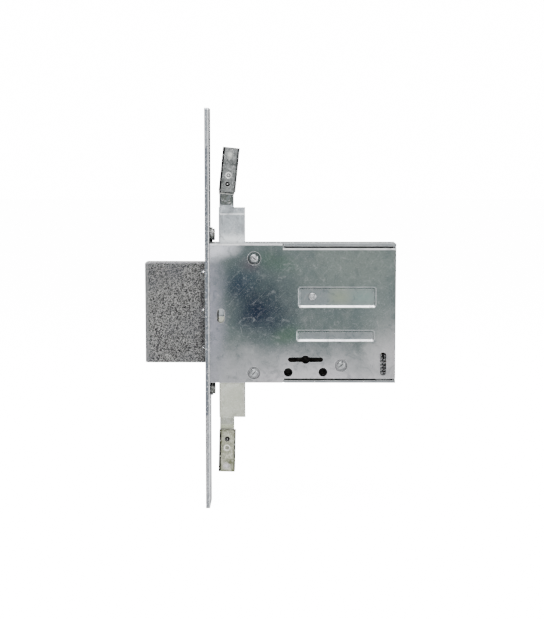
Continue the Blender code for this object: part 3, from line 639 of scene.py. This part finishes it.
def make_face_screws(finishes):
    """The countersunk screws of the faceplate, with a slot across their flush heads."""
    for name, turn in FACE_SLOT_TURNS.items():
        low, high = (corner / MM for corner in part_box(name))
        centre = (low + high) / 2
        mesh = nodes[name].data.copy()
        mesh.transform(nodes[name].matrix_world)
        along = Vector((0.0, cos(radians(turn)), sin(radians(turn))))
        across = Vector((0.0, -along.z, along.y))
        corners = [along * a * FACE_SLOT_HALF_LENGTH + across * b * FACE_SLOT_HALF_WIDTH
                   for a, b in ((-1, -1), (1, -1), (1, 1), (-1, 1))]
        rings = [[Vector((x, centre.y, centre.z)) + c for c in corners]
                 for x in (low.x - CLEAR, low.x + FACE_SLOT_DEPTH)]
        mesh.name = name + "_fine"
        mesh.materials.clear()
        mesh = carve(mesh, skin("face_slot", rings))
        shown(name + "_fine", mesh, finishes["screw"], "lock", "pale_zinc", name)


def make_stop_rivet(finishes):
    name = "lever_stop_rivet"
    low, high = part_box(name)
    below_head = low.y / MM + RIVET_HEAD[-1][0]
    foot = [(below_head, RIVET_SHANK_R), (RIVET_FOOT_Y, RIVET_SHANK_R),
            (RIVET_FOOT_Y, RIVET_FOOT_R), (high.y / MM, RIVET_FOOT_R)]
    mesh = headed(name, RIVET_HEAD, foot, RIVET_SLOT_TURN, RIVET_SLOT_HALF_WIDTH,
                  RIVET_SLOT_DEPTH)
    obj = shown(name + "_fine", mesh, finishes["screw"], "lock", "pale_zinc", name)
    bevelled(obj, 0.06)


# Lever springs

SPRING_R = 1.15
SPRING_WIRE_R = 0.3
SPRING_TURNS = 7.5
SPRING_TOP_R = 0.78
TAPER_START = 4.6
TAPER_LENGTH = 1.2
CLOSED_SHARE = 0.12
TURN_STEPS = 20
WIRE_SIDES = 8


def share_of(value, low, high):
    """0 below low and 1 above high, and straight between them."""
    return min(max((value - low) / (high - low), 0.0), 1.0)


def coil_mesh(name, x, y, low, high):
    """A wound spring with its end turns closed up, narrower at its top to clear the levers."""
    count = int(SPRING_TURNS * TURN_STEPS)
    wire = SPRING_WIRE_R
    free = (high - low - 2.2 * wire) * 0.96
    rings = []
    for i in range(count + 1):
        share = i / count
        risen = share_of(share, CLOSED_SHARE, 1.0 - CLOSED_SHARE)
        height = low + wire + 4 * wire * (share - risen) + free * risen
        turn = 2 * pi * i / TURN_STEPS
        out = Vector((cos(turn), sin(turn), 0.0))
        narrow = share_of(height, high - TAPER_START, high - TAPER_START + TAPER_LENGTH)
        radius = SPRING_R + (SPRING_TOP_R - SPRING_R) * narrow
        centre = Vector((x, y, height)) + out * radius
        angles = [2 * pi * j / WIRE_SIDES for j in range(WIRE_SIDES)]
        rings.append([centre + out * wire * cos(a) + Vector((0, 0, wire * sin(a)))
                      for a in angles])
    return skin(name, rings)


def make_springs(finishes):
    for i in range(1, 7):
        name = f"lever_spring_{i}"
        low, high = (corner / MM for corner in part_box(name))
        x, y = (low.x + high.x) / 2, (low.y + high.y) / 2
        mesh = coil_mesh(name + "_fine", x, y, low.z, high.z)
        obj = shown(name + "_fine", mesh, finishes["spring"], "lock", "spring_steel", name)
        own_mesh(obj)


# Rod sockets: heights along the channel are measured from the pin

SOCKETS = {
    "upper": {"pin": UPPER_PIN, "tilt": 6.0, "near": -4.6, "far": 21.9, "lip": (-6.3, -5.9),
              "front": -7.7, "dimples": (5.3,), "finish": "socket", "slot": "pale_zinc"},
    "lower": {"pin": LOWER_PIN, "tilt": 1.4, "near": 4.8, "far": -20.2, "lip": (5.9, 5.9),
              "front": -9.2, "dimples": (-5.3, -16.5), "finish": "yellow",
              "slot": "yellow_zinc"},
}
CHANNEL_HALF_WIDTH = 5.0
CHANNEL_DEPTH = 8.0
CHANNEL_SHEET = 1.2
CHANNEL_BEND = 1.3
CHANNEL_STEPS = 12
BEND_STEPS = 5
LEAST_INNER_BEND = 0.15
LIP_HALF_WIDTH = 4.7
LIP_ROOT_SHARE = 0.9
PIN_HOLE_R = 1.6
DIMPLE = ((-1.0, 1.85), (0.12, 1.85), (0.45, 1.1), (0.5, 0.5))


def channel_plan():
    """The section of a folded channel, its web at y = 0 and its back open."""
    half, depth, thick, outer = CHANNEL_HALF_WIDTH, CHANNEL_DEPTH, CHANNEL_SHEET, CHANNEL_BEND
    inner = max(outer - thick, LEAST_INNER_BEND)
    reach = half - thick
    quarter = [pi / 2 * i / BEND_STEPS for i in range(BEND_STEPS + 1)]
    plan = [(-half, depth)]
    plan += [(-half + outer - outer * cos(t), outer - outer * sin(t)) for t in quarter]
    plan += [(half - outer + outer * sin(t), outer - outer * cos(t)) for t in quarter]
    plan += [(half, depth), (reach, depth)]
    plan += [(reach - inner + inner * cos(t), thick + inner - inner * sin(t)) for t in quarter]
    plan += [(-reach + inner - inner * sin(t), thick + inner - inner * cos(t)) for t in quarter]
    plan += [(-reach, depth)]
    return plan


def lip_tool(form):
    """The tongue that reaches over the slide's neck from the near end of the web."""
    web, half = form["front"], LIP_HALF_WIDTH
    corners = ((-half, 0.0), (half, 0.0), (half, CHANNEL_SHEET), (-half, CHANNEL_SHEET))
    root = form["near"] * LIP_ROOT_SHARE
    return skin("lip", [[(x, web + y, root) for x, y in corners],
                        [(x, web + y, form["lip"][x > 0]) for x, y in corners]])


def socket_mesh(name, form):
    """One channel with its lip, pin hole and dimples, upright about the pin."""
    web = form["front"]
    rings = []
    for i in range(CHANNEL_STEPS + 1):
        along = form["near"] + (form["far"] - form["near"]) * i / CHANNEL_STEPS
        rings.append([(x, web + y, along) for x, y in channel_plan()])
    mesh = carve(skin(name, rings), lip_tool(form), "UNION")
    through = (web - CLEAR, web + CHANNEL_SHEET + CLEAR)
    mesh = carve(mesh, turned("hole", [(y, PIN_HOLE_R) for y in through], 0.0, 0.0))
    for height in form["dimples"]:
        profile = [(web + depth, radius) for depth, radius in DIMPLE]
        mesh = carve(mesh, turned("dimple", profile, 0.0, height))
    return mesh


def make_sockets(finishes):
    """The rod sockets: sheet folded into channels, with round bends, on their pins."""
    for level, form in SOCKETS.items():
        name = f"rod_socket_{level}"
        pin_x, pin_z = form["pin"]
        mesh = socket_mesh(name + "_fine", form)
        tilt = Matrix.Rotation(radians(form["tilt"]), 4, "Y")
        mesh.transform(Matrix.Translation(Vector((pin_x, 0.0, pin_z)) * MM) @ tilt)
        obj = shown(name + "_fine", mesh, finishes[form["finish"]], f"socket_{level}",
                    form["slot"], name)
        bevelled(obj, 0.12)


# Stage, light and camera, in metres

FLOOR_REACH = 6.0
FLOOR_GLOW = 15.0
WORLD_LIGHT = 0.3
WORLD_GLOW = 16.0
LIT_POINT = (0.04, 0.0, 0.0)
PANELS = (
    ("key_above", (-0.1, -0.3, 0.9), (0.8, 0.35), 13.0),
    ("fill_front", (0.1, -1.3, 0.25), (1.1, 0.8), 6.0),
    ("edge_left", (-0.9, -0.2, 0.1), (0.2, 0.9), 2.0),
    ("edge_right", (0.95, -0.15, 0.2), (0.3, 0.9), 11.0),
    ("back_above", (0.1, 0.9, 0.7), (0.9, 0.6), 7.0),
)
CAMERA_PLACE = (0.048, -0.858, 0.095)
CAMERA_TARGET = (0.0402, -0.011, 0.0025)
CAMERA_LENS = 82.6


def look_at(obj, target):
    direction = Vector(target) - obj.location
    obj.rotation_euler = direction.to_track_quat("-Z", "Y").to_euler()


def make_lights():
    for name, place, size, power in PANELS:
        data = bpy.data.lights.new(name, "AREA")
        data.shape = "RECTANGLE"
        data.size, data.size_y = size
        data.energy = power
        light = bpy.data.objects.new(name, data)
        bpy.context.scene.collection.objects.link(light)
        light.location = place
        look_at(light, LIT_POINT)


def make_floor():
    """A plain floor that is white to the camera and pale to everything else."""
    low = cad_box[0][2]
    mesh = bpy.data.meshes.new("floor")
    corners = [(x * FLOOR_REACH, y * FLOOR_REACH, low)
               for x, y in ((-1, -1), (1, -1), (1, 1), (-1, 1))]
    mesh.from_pydata(corners, [], [(0, 1, 2, 3)])
    floor = bpy.data.objects.new("floor", mesh)
    bpy.context.scene.collection.objects.link(floor)
    g = Graph("floor_white")
    g.shader.inputs["Emission Color"].default_value = (1.0, 1.0, 1.0, 1.0)
    seen = g.add("ShaderNodeLightPath").outputs["Is Camera Ray"]
    g.join(g.maths("MULTIPLY", seen, FLOOR_GLOW), g.shader.inputs["Emission Strength"])
    mesh.materials.append(g.finish((0.9, 0.9, 0.9, 1.0), 0.8, 0.0))


def make_world():
    """A studio that is white to the camera and dimmer as light."""
    world = bpy.data.worlds.new("studio")
    bpy.context.scene.world = world
    world.use_nodes = True
    tree = world.node_tree
    back = tree.nodes["Background"]
    back.inputs["Color"].default_value = (1.0, 1.0, 1.0, 1.0)
    seen = tree.nodes.new("ShaderNodeLightPath").outputs["Is Camera Ray"]
    level = tree.nodes.new("ShaderNodeMapRange")
    tree.links.new(seen, level.inputs["Value"])
    level.inputs["To Min"].default_value = WORLD_LIGHT
    level.inputs["To Max"].default_value = WORLD_GLOW
    tree.links.new(level.outputs["Result"], back.inputs["Strength"])


def make_camera():
    data = bpy.data.cameras.new("camera")
    data.sensor_width = 36.0
    data.lens = CAMERA_LENS
    data.clip_start = 0.01
    camera = bpy.data.objects.new("camera", data)
    bpy.context.scene.collection.objects.link(camera)
    camera.location = CAMERA_PLACE
    look_at(camera, CAMERA_TARGET)
    bpy.context.scene.camera = camera


def main():
    finishes = make_finishes()
    dress_frame(finishes)
    make_screws(finishes)
    make_face_screws(finishes)
    make_stop_rivet(finishes)
    make_springs(finishes)
    make_sockets(finishes)
    make_floor()
    make_world()
    make_lights()
    make_camera()


main()
